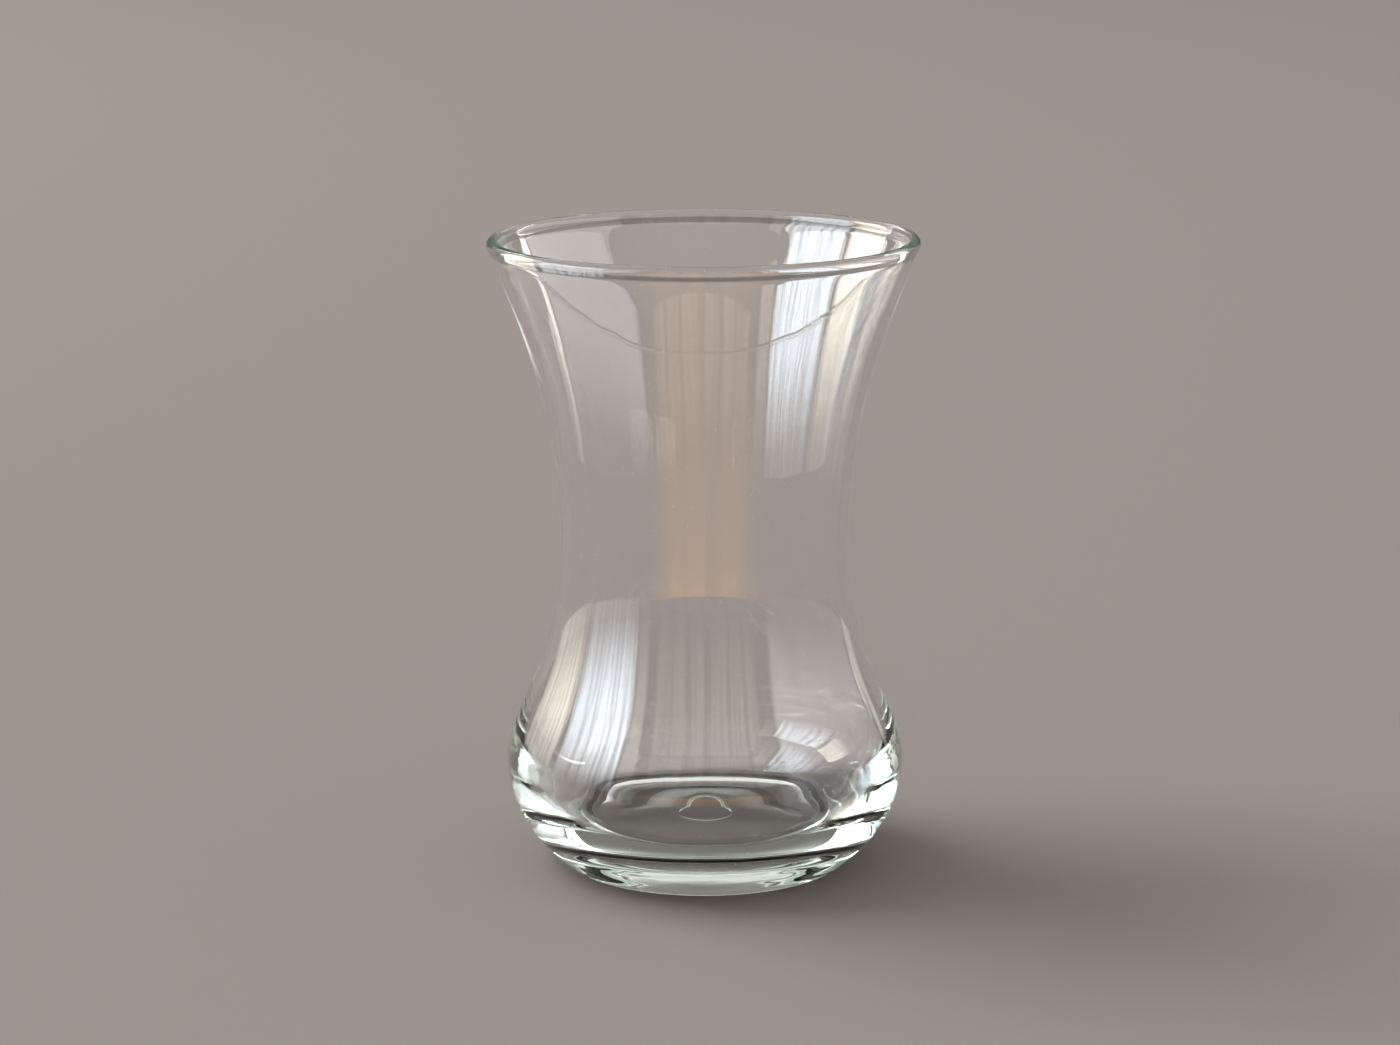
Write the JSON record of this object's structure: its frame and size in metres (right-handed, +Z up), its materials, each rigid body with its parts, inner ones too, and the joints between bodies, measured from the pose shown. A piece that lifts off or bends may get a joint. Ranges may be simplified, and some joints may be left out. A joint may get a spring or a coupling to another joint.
{
  "type": "turkish tea glass",
  "caption": "Small clear tea glass with a thin waist, a round bulb at the bottom, a flared mouth with a rounded lip and a thick base that stands on a ring.",
  "frame": {"origin": "middle of the standing ring, on the surface that the glass stands on", "axes": "+Z up along the axis that the glass is turned about; X and Y are alike"},
  "size_m": [0.054, 0.054, 0.08],
  "materials": {
    "clear_glass": "clear, polished, with a faint green tint where the glass is thick"
  },
  "bodies": {
    "root": {"tea_glass": "clear_glass"}
  },
  "joints": []
}
